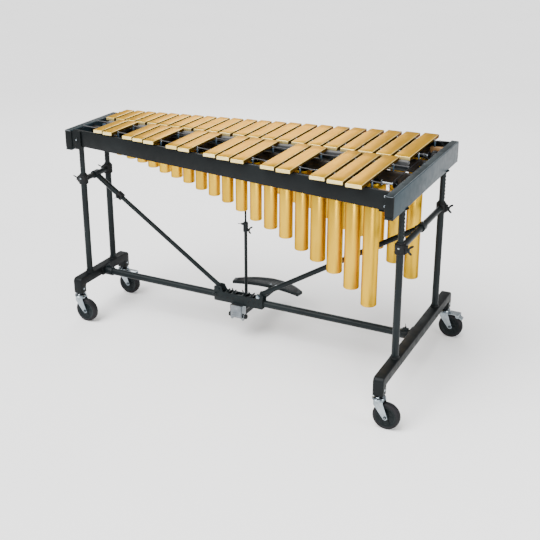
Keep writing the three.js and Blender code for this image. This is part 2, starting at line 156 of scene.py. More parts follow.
def tube_gold():
    """Satin gold tube, drawn and brushed lengthwise."""
    s = Shader("tube_gold", 0.93, Specular_IOR_Level=0.25, Specular_Tint=(0.60, 0.40, 0.12, 1))
    s.colours(s.noise(5, (3, 3, 0.7), 4), (0.56, 0.325, 0.012), (0.70, 0.425, 0.024))
    s.roughness(s.noise(30, (6, 6, 0.6), 2), 0.34, 0.42)
    return s.bump(s.noise(80, (20, 20, 0.5), 2), 0.05, 0.0001).material


def paint(name, dark, light, rough=(0.38, 0.52), grain=900, depth=0.00012):
    """Powder coat: a faint orange peel over a slightly uneven colour. The near-black tube insides use it
    too, as painted shade.
    """
    s = Shader(name, 0.0, Specular_IOR_Level=0.13)
    s.colours(s.noise(6), dark, light)
    s.roughness(s.noise(35), *rough)
    return s.bump(s.noise(grain, detail=1), 0.25, depth).material


def wood(name, dark, light):
    s = Shader(name, 0.0, Specular_IOR_Level=0.25)
    s.colours(s.noise(18, (1, 12, 12), 6, 1.2), dark, light, 0.3, 0.72)
    s.roughness(s.noise(60, (1, 10, 10)), 0.45, 0.65)
    return s.bump(s.noise(90, (1, 14, 14), 4), 0.2, 0.0004).material


def steel(name, tint=(0.22, 0.26, 0.29), light=(0.38, 0.42, 0.45), rough=(0.14, 0.26)):
    s = Shader(name, 1.0)
    s.colours(s.noise(20), tint, light)
    s.roughness(s.noise(90), *rough)
    return s.bump(s.noise(300), 0.05, 0.0001).material


def rubber(name, grain=500):
    s = Shader(name, 0.0, Specular_IOR_Level=0.15)
    s.colours(s.noise(25), (0.005, 0.005, 0.006), (0.013, 0.013, 0.015))
    s.roughness(s.noise(60), 0.55, 0.75)
    return s.bump(s.noise(grain, detail=2), 0.3, 0.0003).material


def felt():
    s = Shader("damper_felt", 0.0, Sheen_Weight=0.5, Sheen_Roughness=0.5)
    s.colours(s.noise(400, detail=5), (0.010, 0.011, 0.013), (0.030, 0.031, 0.034))
    s.roughness(s.noise(200), 0.85, 0.98)
    return s.bump(s.noise(900, detail=4), 0.8, 0.0008).material


def cord_weave():
    s = Shader("bar_cord", 0.0, Sheen_Weight=0.3)
    s.colours(s.noise(700, (1, 3, 3)), (0.020, 0.022, 0.026), (0.070, 0.072, 0.078))
    s.roughness(s.noise(300), 0.7, 0.9)
    return s.bump(s.speckle(900), 0.6, 0.0005).material


# The bars' edge gold is a painted highlight, and their flank gold is a painted shade.
GOLD, EDGE_HIGHLIGHT, FLANK_SHADE, TUBE = bar_gold(), bar_edge_highlight(), bar_flank_shade(), tube_gold()
RAIL_PAINT = paint("rail_paint", (0.015, 0.028, 0.036), (0.023, 0.040, 0.050), (0.34, 0.46))
RAIL_TOP = paint("rail_top", (0.008, 0.012, 0.014), (0.026, 0.034, 0.037), (0.5, 0.7), 350, 0.0006)
BLACK = paint("black_paint", (0.0020, 0.0030, 0.0034), (0.0042, 0.0060, 0.0066), (0.42, 0.56))
STAND = paint("stand_paint", (0.0040, 0.0062, 0.0070), (0.0080, 0.0120, 0.0132), (0.34, 0.46))
# Near-black for the insides of the tubes: painted shade.
TUBE_INSIDE_SHADE = paint("tube_inside_shade", (0.006, 0.005, 0.003), (0.014, 0.011, 0.006), (0.5, 0.7))
PLASTIC = paint("black_plastic", (0.004, 0.0045, 0.005), (0.010, 0.011, 0.012), (0.42, 0.6), 600)
SLEEVE = paint("post_sleeve", (0.035, 0.06, 0.09), (0.08, 0.12, 0.17), (0.4, 0.6), 500)
WOOD = wood("rail_wood", (0.17, 0.085, 0.030), (0.36, 0.215, 0.095))
# Near-black wood for the rails under the bars: painted shade.
SHADED_WOOD = wood("wood_painted_shade", (0.006, 0.005, 0.004), (0.020, 0.014, 0.010))
CHROME = steel("bright_steel")
ALUMINIUM = steel("plain_aluminium", (0.12, 0.14, 0.155), (0.22, 0.24, 0.26), (0.32, 0.48))
STEEL_GREY = steel("damper_rail", (0.03, 0.036, 0.042), (0.06, 0.07, 0.08), (0.4, 0.55))
TYRE, BELT, FELT, CORD = rubber("tyre_rubber"), rubber("belt_rubber", 800), felt(), cord_weave()


# ---- mesh kit -----------------------------------------------------------------------
def frame_of(axis):
    """A rotation whose z column is the axis."""
    axis = Vector(axis).normalized()
    side = Vector((0, 0, 1)) if abs(axis.z) < 0.9 else Vector((1, 0, 0))
    u = side.cross(axis).normalized()
    return Matrix((u, axis.cross(u), axis)).transposed()


def arc(cx, cy, radius, start, end, steps=4):
    """Points on an arc, its angles in degrees."""
    angles = [math.radians(start + (end - start) * n / steps) for n in range(steps + 1)]
    return [(cx + radius * math.cos(t), cy + radius * math.sin(t)) for t in angles]


def rounded(x0, x1, y0, y1, radius, steps=3):
    """A rectangle with round corners, anticlockwise."""
    return (arc(x1 - radius, y1 - radius, radius, 0, 90, steps)
            + arc(x0 + radius, y1 - radius, radius, 90, 180, steps)
            + arc(x0 + radius, y0 + radius, radius, 180, 270, steps)
            + arc(x1 - radius, y0 + radius, radius, 270, 360, steps))


def shrunk(outline, inset):
    """The outline with every edge moved in by the same distance."""
    count = len(outline)
    area = sum(outline[n][0] * outline[(n + 1) % count][1] - outline[(n + 1) % count][0] * outline[n][1]
               for n in range(count))
    way = 1 if area > 0 else -1
    moved = []
    for n in range(count):
        here = Vector(outline[n])
        before = (here - Vector(outline[n - 1])).normalized()
        after = (Vector(outline[(n + 1) % count]) - here).normalized()
        bisector = Vector((-before.y - after.y, before.x + after.x)) * way
        if bisector.length < 1e-6:
            moved.append(here)
            continue
        bisector.normalize()
        normal = Vector((-after.y, after.x)) * way
        moved.append(here + bisector * inset / max(bisector.dot(normal), 0.35))
    return [(p.x, p.y) for p in moved]


def both_ways(half):
    """A profile that is the same on both sides of 0 along its axis, from its lower half."""
    return half + [(r, -along) for r, along in reversed(half) if along]


def without_repeats(outline):
    kept = [outline[0]]
    for point in outline[1:]:
        if (Vector(point) - Vector(kept[-1])).length > 1e-4:
            kept.append(point)
    if (Vector(kept[0]) - Vector(kept[-1])).length < 1e-4:
        kept.pop()
    return kept


UP = (0, 0, 1)
AXES = {   # how an outline (u, v) pushed along w lies in space
    "x": Matrix(((0, 0, 1), (1, 0, 0), (0, 1, 0))),
    "y": Matrix(((1, 0, 0), UP, (0, 1, 0))),
    "z": Matrix.Identity(3),
}


class Piece:
    """One mesh, put together from closed solids, each with its own material."""

    def __init__(self):
        self.bm = bmesh.new()
        self.materials = []

    def index(self, material):
        if material not in self.materials:
            self.materials.append(material)
        return self.materials.index(material)

    def skin(self, rings, material, loop=False):
        """Joins rings of points with the same count; the end rings are capped unless they join."""
        slot = self.index(material)
        made = [[self.bm.verts.new(p) for p in ring] for ring in rings]
        count = len(made[0])
        pairs = list(zip(made, made[1:] + made[:1] if loop else made[1:]))
        faces = []
        for a, b in pairs:
            for n in range(count):
                m = (n + 1) % count
                faces.append(self.bm.faces.new((a[n], a[m], b[m], b[n])))
        if not loop:
            faces.append(self.bm.faces.new(made[0][::-1]))
            faces.append(self.bm.faces.new(made[-1]))
        for face in faces:
            face.material_index = slot

    def turned(self, profile, start, axis, material, sides=32, ring=None):
        """A turned solid: profile is (radius, distance along the axis). A profile that stays
        off the axis makes a ring, unless ring is False."""
        turn, start = frame_of(axis), Vector(start)
        if ring is None:
            ring = min(radius for radius, _ in profile) > 1e-4
        rings = []
        for radius, along in profile:
            radius = max(radius, 1e-5)
            rings.append([start + turn @ Vector((radius * math.cos(t), radius * math.sin(t), along))
                          for t in (2 * math.pi * n / sides for n in range(sides))])
        self.skin(rings, material, loop=ring)

    def rod(self, start, end, radius, material, sides=24, edge=0.6):
        start, end = Vector(start), Vector(end)
        length = (end - start).length
        edge = min(edge, radius * 0.4, length * 0.4)
        profile = [(radius - edge, 0), (radius - edge * 0.3, edge * 0.3), (radius, edge),
                   (radius, length - edge), (radius - edge * 0.3, length - edge * 0.3),
                   (radius - edge, length)]
        self.turned(profile, start, end - start, material, sides, ring=False)

    def pipe(self, start, end, outer, inner, material, sides=32, edge=0.4):
        start, end = Vector(start), Vector(end)
        length = (end - start).length
        profile = [(inner, edge), (inner + edge, 0), (outer - edge, 0), (outer, edge),
                   (outer, length - edge), (outer - edge, length), (inner + edge, length),
                   (inner, length - edge)]
        self.turned(profile, start, end - start, material, sides)

    def slab(self, outline, start, axis, depth, material, edge=0.8, turn=None):
        """An outline pushed along an axis, its two rims rounded. An axis given as a letter
        takes the outline in the plane of the other two, in their order."""
        if isinstance(axis, str):
            turn = AXES[axis]
        turn = turn or frame_of(axis)
        start, outline = Vector(start), without_repeats(outline)
        edge = min(edge, depth * 0.4)

        def ring(inset, along):
            return [start + turn @ Vector((u, v, along)) for u, v in shrunk(outline, inset)]
        rings = [ring(edge, 0), ring(edge * 0.3, edge * 0.3), ring(0, edge), ring(0, depth - edge),
                 ring(edge * 0.3, depth - edge * 0.3), ring(edge, depth)]
        self.skin(rings, material)

    def box(self, corner, opposite, material, edge=1.0):
        """A box between two opposite corners, with all its edges rounded."""
        lo, hi = (Vector(ends) for ends in zip(*map(sorted, zip(corner, opposite))))
        edge = min(edge, min(hi - lo) * 0.45)
        outline = rounded(lo.x, hi.x, lo.y, hi.y, edge, 2)
        self.slab(outline, (0, 0, lo.z), "z", hi.z - lo.z, material, edge * 0.9)

    def sweep(self, path, radius, material, sides=12):
        """A round wire along a path."""
        points = [Vector(p) for p in path]
        rings, turn = [], frame_of(points[1] - points[0])
        for n, point in enumerate(points):
            before, after = points[max(n - 1, 0)], points[min(n + 1, len(points) - 1)]
            tangent = (after - before).normalized()
            bend = turn.col[2].rotation_difference(tangent).to_matrix()
            turn = bend @ turn
            rings.append([point + turn @ Vector((radius * math.cos(t), radius * math.sin(t), 0))
                          for t in (2 * math.pi * k / sides for k in range(sides))])
        self.skin(rings, material)

    def head(self, at, axis, rim, height, sides=20, material=CHROME):
        """The head of a screw or a bolt: its rim from its seat up, and the height of its middle."""
        self.turned([(0, 0), *rim, (0, height)], at, axis, material, sides)

    def wing_bolt(self, head, axis, material, size=12, stem=12, turn=0.0):
        """A stem, a hub and two flat wings; head is where the hub starts."""
        head, axis = Vector(head), Vector(axis).normalized()
        self.rod(head - axis * stem, head + axis * size * 0.2, size * 0.24, material, 12)
        self.turned([(0, 0), (size * 0.42, 0), (size * 0.36, size * 0.6), (0, size * 0.66)],
                    head, axis, material, 16)
        basis = frame_of(axis) @ Matrix.Rotation(turn, 3, "Z")
        for side in (-1, 1):
            wing = [(side * x * size, y * size) for x, y in
                    [(0.2, 0.05), (0.9, 0.45), (1.25, 1.0), (1.2, 1.35), (0.85, 1.35), (0.25, 0.6)]]
            spin = basis @ Matrix(((1, 0, 0), (0, 0, -1), (0, 1, 0)))
            start = head - (spin @ Vector((0, 0, 1))) * size * 0.09
            self.slab(wing if side > 0 else wing[::-1], start, UP, size * 0.18, material, 0.5, turn=spin)

    def hex_nut(self, start, axis, radius, depth, material):
        outline = [(radius * math.cos(math.radians(60 * n)), radius * math.sin(math.radians(60 * n)))
                   for n in range(6)]
        self.slab(outline, start, axis, depth, material, 0.6)

    def finish(self, name, body="top_frame", node="", smooth=40):
        """Turns the plan's millimetres into the frame's metres, and hangs the piece on its body.
        It replaces the CAD node of its own name, or the one named, or with None no node."""
        bmesh.ops.recalc_face_normals(self.bm, faces=self.bm.faces)
        self.bm.transform(Matrix.Translation((MIDDLE_X, 0, 0)) @ Matrix.Scale(MM, 4))
        mesh = bpy.data.meshes.new(name)
        self.bm.to_mesh(mesh)
        self.bm.free()
        for material in self.materials:
            mesh.materials.append(material)
        for polygon in mesh.polygons:
            polygon.use_smooth = True
        mesh.set_sharp_from_angle(angle=math.radians(smooth))
        thing = placed(f"{name}-fine", mesh)
        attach(thing, body)
        if node is not None:
            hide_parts(node or name)


# ---- the keyboard's layout, as in the CAD plan --------------------------------------
RAIL_IN, RAIL_OUT, RAIL_TOP_Z, RAIL_LOW_Z = 680, 710, 812, 732
BETWEEN = RAIL_IN - 0.3            # half the room between the end rails
RAIL_HALF = {"low": 360, "high": 160}
STAND_X = 695
POST_Y = {"low": 228, "high": 83}
CASTER_Y = {"low": 375, "high": 155}
BAR_TOP, BAR_LOW = 828, 815.3
DIVISION_Y, END_GAP, NODE_SHARE, WIDTH_SHARE = 20, 4, 0.224, 0.815
CORD_Z = (BAR_TOP + BAR_LOW) / 2
NATURALS = 22
LOWEST_MIDI, HIGHEST_MIDI = 53, 89          # F3 to F6
NATURAL_STEPS = (0, 2, 4, 6, 7, 9, 11)      # F G A B C D E in semitones
FIRST_SHARP_X, PITCH_LOW, PITCH_HIGH, PITCH_STEPS = 568, 69, 48, 19
SOUND_MM_S = 344000
TUBE_TOP = 785
SHAFT_Z = 789
PULLEY_X = 648
DAMPER_HALF = 628
CROSS_Z = 590                      # the upper cross tubes
CROSSBAR_Z = 165
TRAIL, AXLE_Z = 29, 48             # of a caster's axle
ROD = (-18, 30)                    # where the pedal rod stands


def sloped(middle, rise):
    """A line across the keyboard that gives y at each x."""
    return lambda x: middle + rise * x


front_edge, back_edge = sloped(-250, -0.165), sloped(268, 0.16)   # the bars' outer ends
front_bank, back_bank = sloped(-117, -0.0825), sloped(146, 0.08)   # the two rows of tubes


def boundary(k):
    """The line between two naturals, and the middle of the sharp there. The pitch falls evenly."""
    fall = (PITCH_LOW - PITCH_HIGH) / PITCH_STEPS
    return FIRST_SHARP_X - (k - 1) * PITCH_LOW + fall * (k - 1) * (k - 2) / 2


def natural_x(i):
    return (boundary(i) + boundary(i + 1)) / 2


def natural_midi(i):
    return LOWEST_MIDI + 12 * (i // 7) + NATURAL_STEPS[i % 7]


def has_sharp(k):
    return natural_midi(k) - natural_midi(k - 1) == 2


def line_of(edge, side, outer):
    """The line of a cord: a still point of each bar, near its outer or its inner end."""
    def line(x):
        near = DIVISION_Y + side * END_GAP
        share = NODE_SHARE * (edge(x) - near)
        return edge(x) - share if outer else near + share
    return line


SHARPS = [k for k in range(1, NATURALS) if has_sharp(k)]
CORDS = {
    "sharp_inner": line_of(front_edge, -1, False), "sharp_outer": line_of(front_edge, -1, True),
    "natural_inner": line_of(back_edge, 1, False), "natural_outer": line_of(back_edge, 1, True),
}


def tube_radius(place):
    return 28 if place < 4.5 else 25 if place < 7.5 else 22


def tube_length(midi, radius):
    """A quarter of the note's wavelength, less the end correction."""
    return SOUND_MM_S / (4 * 440 * 2 ** ((midi - 69) / 12)) - radius / 2


SHARP_TUBES = [(boundary(k), tube_radius(k), (natural_midi(k) + natural_midi(k - 1)) / 2,
                has_sharp(k)) for k in range(1, NATURALS)]
NATURAL_TUBES = [(natural_x(i), tube_radius(i + 0.8), natural_midi(i), True) for i in range(NATURALS)]


# ---- the bars -----------------------------------------------------------------------
def bar_piece(name, x, width, y0, y1, node, number):
    """A tone bar: rounded long edges, eased corners and a tuned arch underneath."""
    piece = Piece()
    length, half = y1 - y0, width / 2
    arch = 2.0 + 4.2 * (1 - number / (HIGHEST_MIDI - LOWEST_MIDI))
    corner, top_edge, low_edge = 2.2, 2.2, 0.7
    stations = [(0, 1.3), (0.4, 0.5), (1.3, 0)]
    along = [(y0 + d, inset) for d, inset in stations]
    steps = 14
    along += [(y0 + length * (0.18 + 0.64 * n / steps), 0) for n in range(steps + 1)]
    along += [(y1 - d, inset) for d, inset in reversed(stations)]
    rings = []
    for y, inset in along:
        share = (y - y0) / length
        inside = 0.2 < share < 0.8
        lift = arch * math.sin(math.pi * (share - 0.2) / 0.6) ** 0.7 if inside else 0
        w, top, low = half - inset * corner / 1.3 * 0.6, BAR_TOP - inset, BAR_LOW + lift + inset * 0.6
        section = (arc(w - top_edge, top - top_edge, top_edge, 90, 0, 3)
                   + arc(w - low_edge, low + low_edge, low_edge, 0, -90, 2)
                   + arc(low_edge - w, low + low_edge, low_edge, 270, 180, 2)
                   + arc(top_edge - w, top - top_edge, top_edge, 180, 90, 3))
        rings.append([Vector((x + px, y, pz)) for px, pz in section])
    piece.skin(rings, GOLD)
    # Painted light: the end faces and the upper rounded edges take the paler gold as a painted highlight.
    highlight_slot, shade_slot = piece.index(EDGE_HIGHLIGHT), piece.index(FLANK_SHADE)
    for face in piece.bm.faces:
        face.normal_update()
        across, lengthwise, up = (abs(part) for part in face.normal)
        low_face = face.calc_center_median().z < BAR_TOP - 2 * top_edge
        if lengthwise > 0.6 or (0.2 < across < 0.96 and up > 0.25 and lengthwise < 0.3 and not low_face):
            face.material_index = highlight_slot
        # The sides and the underside take the dark gold, a painted shade.
        elif across >= 0.96 or low_face:
            face.material_index = shade_slot
    for line_y in (y0 + NODE_SHARE * length, y1 - NODE_SHARE * length):
        for side in (-1, 1):   # bushings round the cord holes
            piece.pipe((x + side * (half - 1), line_y, CORD_Z), (x + side * (half + 0.25), line_y, CORD_Z),
                       3.4, 1.9, PLASTIC, 16, 0.2)
    piece.finish(name, node=node, smooth=50)


def sharp_node(k):
    """Sharps side by side share a node, so its number counts the first ones of each group."""
    firsts = [step for step in SHARPS if step <= k and step - 1 not in SHARPS]
    return f"sharp_bars_{len(firsts)}"


for i in range(NATURALS):
    x = natural_x(i)
    width = WIDTH_SHARE * (boundary(i) - boundary(i + 1))
    group = ("low", "middle", "high")[min(i // 7, 2)]
    bar_piece(f"natural_bar_{i + 1:02d}", x, width, DIVISION_Y + END_GAP, back_edge(x),
              f"natural_bars_{group}", natural_midi(i) - LOWEST_MIDI)
for k in SHARPS:
    x = boundary(k)
    width = WIDTH_SHARE * (natural_x(k - 1) - natural_x(k))
    bar_piece(f"sharp_bar_{k:02d}", x, width, front_edge(x), DIVISION_Y - END_GAP,
              sharp_node(k), natural_midi(k) - 1 - LOWEST_MIDI)


# ---- cords, posts and the wooden rails ----------------------------------------------
def gap_places(kind):
    """Where the posts stand: in the gaps beside the bars."""
    if kind == "natural":
        return [boundary(k) for k in range(NATURALS + 1)]
    return sorted({natural_x(n) for k in SHARPS for n in (k - 1, k)}, reverse=True)


def post(piece, x, y, base):
    """A pin with a soft sleeve and a hook that holds the cord."""
    piece.head((x, y, base), UP, [(3.6, 0), (3.6, 0.8), (2.2, 1.6)], 1.6, 16)
    piece.rod((x, y, base), (x, y, CORD_Z - 2.6), 1.1, CHROME, 12)
    piece.turned([(1.1, 0), (2.9, 0.3), (3.2, 1.2), (3.2, 14.6), (2.9, 15.6), (1.1, 15.8)],
                 (x, y, base + 3), UP, SLEEVE, 16)
    hook = [(x + 3.1 * math.sin(t), y, CORD_Z - 0.2 - 3.1 * math.cos(t))
            for t in (math.radians(a) for a in range(0, 271, 18))]
    piece.sweep(hook, 1.0, CHROME, 8)


def wood_rail(name, kind, line, belt):
    """A wooden rail with eased long edges, its posts, end screws and angle brackets."""
    piece = Piece()
    end, base, top, half = BETWEEN, 752, 798, 10
    spans = [(-end, end)] if not belt else [(-end, 641), (655, end)]

    # The boards default to the near-black wood, a painted shade.
    def board(x0, x1, z0, z1, material=SHADED_WOOD):
        outline = rounded(-half, half, z0, z1, 1.2, 2)
        rings = [[Vector((x, line(x) + v, z)) for v, z in outline]
                 for x in (x0, *(x0 + (x1 - x0) * n / 8 for n in range(1, 8)), x1)]
        piece.skin(rings, material)
    for x0, x1 in spans:
        tan_end = 56 if x1 == end and not belt else 0   # the tan end of the board; the rest of the board is near-black, painted shade
        board(x0, x1 - tan_end, base, top)
        if tan_end:
            board(x1 - tan_end + 0.2, x1, base, top, WOOD)
    if belt:   # above and below the belt's slot
        board(640.5, 655.5, base, 768)
        board(640.5, 655.5, 778, top)
    for side in (-1, 1):
        for z in (763, 787):   # screws into the end plates
            at = (side * (end - 14), line(side * (end - 14)) - half - 0.6, z)
            piece.head(at, (0, 1, 0), [(3.4, 0), (3.4, 0.5), (2.4, 1.4)], 1.4, 16, BLACK)
        x = side * (end - 10)
        across = 1 if line(x) > 0 else -1
        y = line(x) - across * (half + 0.9)
        piece.box((x - 9, y, 756), (x + 9, y - across * 1.8, 794), SLEEVE, 0.6)
    piece.finish(name)

    posts = Piece()
    for x in gap_places(kind):
        post(posts, x, line(x), top)
    posts.finish(f"{name}_posts", node=None, smooth=35)


for name in ("sharp_outer", "sharp_inner", "natural_inner", "natural_outer"):
    kind, row = name.split("_")
    wood_rail(f"{kind}_rail_{row}", kind, CORDS[name], row == "inner")

for name, line in CORDS.items():
    piece = Piece()
    first, final = Vector((652, line(652), CORD_Z)), Vector((-652, line(-652), CORD_Z))
    piece.rod(first, final, 1.5, CORD, 10, 0.3)
    for tip, way in ((first, 1), (final, -1)):   # the cord ends: a knot and a coil spring to the rail
        piece.turned([(0, 0), (3, 1), (3.6, 3.5), (3, 6), (0, 7)], tip, (way, 0, 0), CORD, 12)
        end_x = way * 678
        turns, sides = 7, 12
        coil = []
        for n in range(turns * sides + 1):
            share = n / (turns * sides)
            t = 2 * math.pi * n / sides
            x = tip.x + way * 7 + (end_x - tip.x - way * 9) * share
            coil.append((x, line(x) + 2.6 * math.cos(t), CORD_Z - 4 - 14 * share + 2.6 * math.sin(t)))
        piece.sweep(coil, 0.55, STAND, 6)
    piece.finish(f"{name}_cord", node=None, smooth=35)


# ---- resonators, fans, belt and motor -----------------------------------------------
def resonators(name, tubes, centre):
    piece = Piece()
    for x, radius, midi, _ in tubes:
        y, low, inner = centre(x), TUBE_TOP - tube_length(midi, radius), radius - 1.5
        piece.turned([(0, low), (radius - 2.4, low), (radius - 0.8, low + 0.7), (radius, low + 2.2),
                      (radius, TUBE_TOP - 0.6), (radius - 0.5, TUBE_TOP), (inner + 0.3, TUBE_TOP),
                      (inner, TUBE_TOP - 0.5), (inner, low + 3), (0, low + 3)],
                     (x, y, 0), UP, TUBE, 48)
        # The inside of each tube takes the near-black paint: painted shade.
        inside = piece.index(TUBE_INSIDE_SHADE)
        for face in piece.bm.faces:
            middle = face.calc_center_median() - Vector((x, y, 0))
            if math.hypot(middle.x, middle.y) < inner + 0.4 and middle.z > low + 2.9:
                face.material_index = inside
        z = low + 5.5   # the rolled groove that holds the stopper
        piece.turned([(radius - 0.5, z), (radius + 0.35, z + 0.8), (radius + 0.35, z + 1.6),
                      (radius - 0.5, z + 2.4)], (x, y, 0), UP, TUBE, 40)
    for side in (-1, 1):   # the strips along both sides of the bank
        steps = []
        for n, (x, radius, _, _) in enumerate(tubes):
            half = (tubes[n - 1][0] - x) / 2 if n else tubes[0][1] + 1
            steps += [(x + half - (2.5 if n else -4), radius)]
            after = (x - tubes[n + 1][0]) / 2 if n + 1 < len(tubes) else radius + 1
            steps += [(x - after + (2.5 if n + 1 < len(tubes) else -4), radius)]
        outline = [(x, centre(x) + side * (radius + 3)) for x, radius in steps]
        inner_line = [(x, centre(x) + side * (radius + 0.2)) for x, radius in reversed(steps)]
        piece.slab(outline + inner_line, (0, 0, 752), "z", 28, TUBE, 0.6)
        for x, radius, _, _ in tubes:   # one rivet through each tube
            at = (x, centre(x) + side * (radius + 2.6), 766)
            piece.head(at, (0, side, 0), [(2.6, 0), (2.4, 0.8), (1.5, 1.3)], 1.5, 12, ALUMINIUM)
    for end in (0, -1):   # end plates with the fan bearings
        x, radius, _, _ = tubes[end]
        x += (radius + 1) * (1 if end == 0 else -1) - (0 if end == 0 else 4)
        y = centre(x)
        piece.slab(rounded(y - radius - 3, y + radius + 3, 752, 780, 1.5), (x, 0, 0), "x", 4, TUBE, 0.6)
        plate = [(y - 8, 776), (y + 8, 776), (y + 8, 790)] + arc(y, 790, 8, 0, 180, 8) + [(y - 8, 790)]
        piece.slab(plate, (x, 0, 0), "x", 4, ALUMINIUM, 0.5)
        piece.pipe((x - 1.5, y, SHAFT_Z), (x + 5.5, y, SHAFT_Z), 6, 3, PLASTIC, 20, 0.4)
    piece.finish(name)


def fan(name, body, tubes, centre, overhang):
    piece = Piece()
    start_x, end_x = PULLEY_X + overhang, tubes[-1][0] - tubes[-1][1] - 12
    direction = (Vector((start_x, centre(start_x), 0)) - Vector((end_x, centre(end_x), 0))).normalized()
    piece.rod((end_x, centre(end_x), SHAFT_Z), (start_x, centre(start_x), SHAFT_Z), 2.6, CHROME, 16)
    for x, radius, _, sounding in tubes:
        if not sounding:
            continue
        disc, y = min(radius - 5, 22), centre(x)
        # Each vane is a round disc that stands upright at rest, in the plane of the shaft.
        outline = arc(0, 0, disc, 0, 350, 35)
        piece.slab(outline, (x, y - 0.6, SHAFT_Z), "y", 1.2, PLASTIC, 0.4)
        hub = Vector((x, y, SHAFT_Z))
        piece.rod(hub - direction * 5, hub + direction * 6, 3.8, PLASTIC, 20, 0.8)
    groove = both_ways([(0, -4), (13.2, -4), (14, -3.4), (14, -2.6), (12.6, -1.5), (12.2, 0)])
    piece.turned(groove, (PULLEY_X, centre(PULLEY_X), SHAFT_Z), direction, PLASTIC, 40)
    collar_x = PULLEY_X - 9.5
    piece.turned([(0, 0), (5.5, 0), (5.2, 4.5), (0, 4.5)], (collar_x, centre(collar_x), SHAFT_Z),
                 direction, ALUMINIUM, 20)
    piece.finish(name, body)


resonators("front_resonators", SHARP_TUBES, front_bank)
resonators("rear_resonators", NATURAL_TUBES, back_bank)
fan("front_fan_shaft", "front_fan", SHARP_TUBES, front_bank, 5)
fan("rear_fan_shaft", "rear_fan", NATURAL_TUBES, back_bank, 7)

belt = Piece()
y0, y1 = front_bank(PULLEY_X), back_bank(PULLEY_X)
loop = arc(y1, SHAFT_Z, 15.4, -90, 90, 16) + arc(y0, SHAFT_Z, 15.4, 90, 270, 16)
loop.append(loop[0])
belt.sweep([(PULLEY_X, y, z) for y, z in loop], 1.7, BELT, 12)
belt.finish("drive_belt", smooth=35)

motor = Piece()
y = back_bank(668)
motor.turned([(0, 655.6), (14, 655.6), (17.5, 656.6), (20, 658.5), (21, 661.5), (21, 674), (0, 674)],
             (0, y, SHAFT_Z), (1, 0, 0), PLASTIC, 48)
for n in range(10):   # cooling slots round the can
    t = 2 * math.pi * n / 10
    at = Vector((0, math.cos(t), math.sin(t)))
    motor.rod(Vector((662, y, SHAFT_Z)) + at * 20.6, Vector((671, y, SHAFT_Z)) + at * 20.6, 0.9, STAND, 8)
motor.slab(rounded(y - 26, y + 26, 760, 806, 5), (674, 0, 0), "x", 5.7, BLACK, 1)
for dy in (-20, 20):
    for z in (766, 800):
        motor.head((674, y + dy, z), (-1, 0, 0), [(3.2, 0), (2.6, 1.8)], 2.2, 16)
motor.finish("fan_motor")


# ---- end rails, aprons and damper ---------------------------------------------------
def end_rail(end, side):
    half, cap = RAIL_HALF[end], 5
    piece = Piece()
    inside, outside = sorted((side * RAIL_IN, side * RAIL_OUT))
    outline = rounded(inside, outside, RAIL_LOW_Z, RAIL_TOP_Z, 3.5, 4)
    piece.slab(outline, (0, cap - half, 0), "y", 2 * (half - cap), RAIL_PAINT, 0.4)
    # a grained strip let into the top, with a bright bead along the outer edge
    piece.box((side * (RAIL_IN + 2.5), cap - half + 0.5, RAIL_TOP_Z - 1.5),
              (side * (RAIL_OUT - 4), half - cap - 0.5, RAIL_TOP_Z + 0.4), RAIL_TOP, 0.6)
    bead_x = side * (RAIL_OUT - 2.6)
    piece.rod((bead_x, cap - half, RAIL_TOP_Z - 0.9), (bead_x, half - cap, RAIL_TOP_Z - 0.9), 1.1,
              ALUMINIUM, 12)
    for way in (-1, 1):   # moulded end caps
        y = way * half
        lo_y, hi_y = sorted((y, y - way * cap))
        piece.slab(rounded(inside, outside, RAIL_LOW_Z + 9, RAIL_TOP_Z, 3.5, 4), (0, lo_y, 0), "y", cap,
                   BLACK, 1.4)
        piece.box((inside + 0.4, lo_y, RAIL_LOW_Z), (outside - 0.4, hi_y, RAIL_LOW_Z + 8.2), STAND, 1.2)
        piece.box((inside + 3, lo_y - (0.4 if way < 0 else -0.4), RAIL_TOP_Z - 3.2),
                  (outside - 3, hi_y + (0.4 if way > 0 else -0.4), RAIL_TOP_Z - 1.4), ALUMINIUM, 0.4)
    for way in (-1, 1):   # the plates on the lift tubes, screwed up into the rail
        y = way * POST_Y[end]
        piece.turned([(0, 0), (22, 0), (22, 1.6), (0, 2)], (side * STAND_X, y, RAIL_LOW_Z - 0.2),
                     UP, BLACK, 32)
    piece.finish(f"{end}_end_rail")


def apron(name, line, outward):
    """A sheet apron with its top edge rolled over, a lip along its bottom edge, and screws at its ends."""
    piece = Piece()
    end, thick = BETWEEN, 4
    low, top = RAIL_LOW_Z + 17, RAIL_TOP_Z

    def strip(v0, v1, z0, z1, material, radius=1.0):
        section = rounded(v0, v1, z0, z1, radius, 2)
        rings = [[Vector((x, line(x) + v, z)) for v, z in section]
                 for x in (-end + 2 * end * n / 6 for n in range(7))]
        piece.skin(rings, material)
    strip(0, thick, low, top, BLACK, 1.6)
    inner = (thick - 0.5, thick + 9) if outward < 0 else (-9, 0.5)
    strip(*inner, top - 2.6, top - 0.2, BLACK, 0.9)
    strip(*inner, low, low + 2.4, BLACK, 0.9)
    face = 0 if outward < 0 else thick
    for side in (-1, 1):
        for z in (low + 14, top - 16):
            x = side * (end - 12)
            at = (x, line(x) + face, z)
            piece.head(at, (0, outward, 0), [(4.2, 0), (4.0, 0.9), (2.6, 2.1)], 2.4)
            piece.hex_nut((x, line(x) + face + outward * 2.2, z), (0, outward, 0), 1.5, 0.4, BLACK)
    piece.finish(name)


end_rail("low", 1)
end_rail("high", -1)


